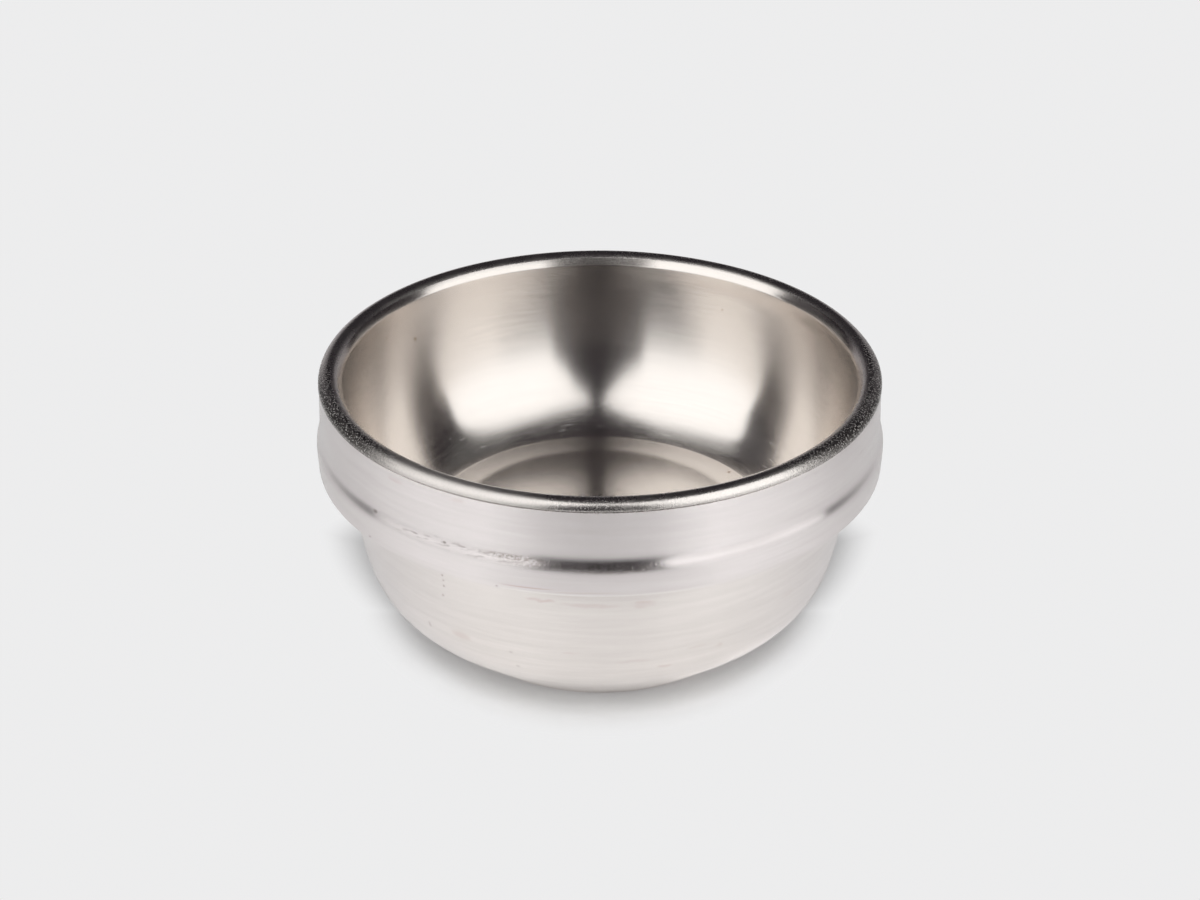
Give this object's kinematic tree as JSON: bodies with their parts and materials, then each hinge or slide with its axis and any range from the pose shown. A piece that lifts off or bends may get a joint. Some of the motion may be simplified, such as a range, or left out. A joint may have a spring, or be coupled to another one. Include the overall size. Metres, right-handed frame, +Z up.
{
  "type": "insulated noodle bowl",
  "caption": "Round double-wall pressed steel bowl: deep liner with a rolled lip, stepped collar, undercut shoulder and tapered lower body on a flat base; holds hot soup or noodles.",
  "frame": {"origin": "centre of the flat base, on the surface that the bowl stands on", "axes": "+Z up along the bowl's axis; the bowl is the same all round, so X and Y are free"},
  "size_m": [0.1824, 0.1824, 0.0944],
  "materials": {
    "liner_steel": "brushed round the axis inside, polished on the lip, lightly scratched",
    "shell_steel": "satin, with faint streaks round the axis",
    "seal_compound": "matt sealing compound, hidden"
  },
  "bodies": {
    "root": {"inner_bowl": "liner_steel", "outer_shell": "shell_steel", "rim_seal": "seal_compound"}
  },
  "joints": []
}
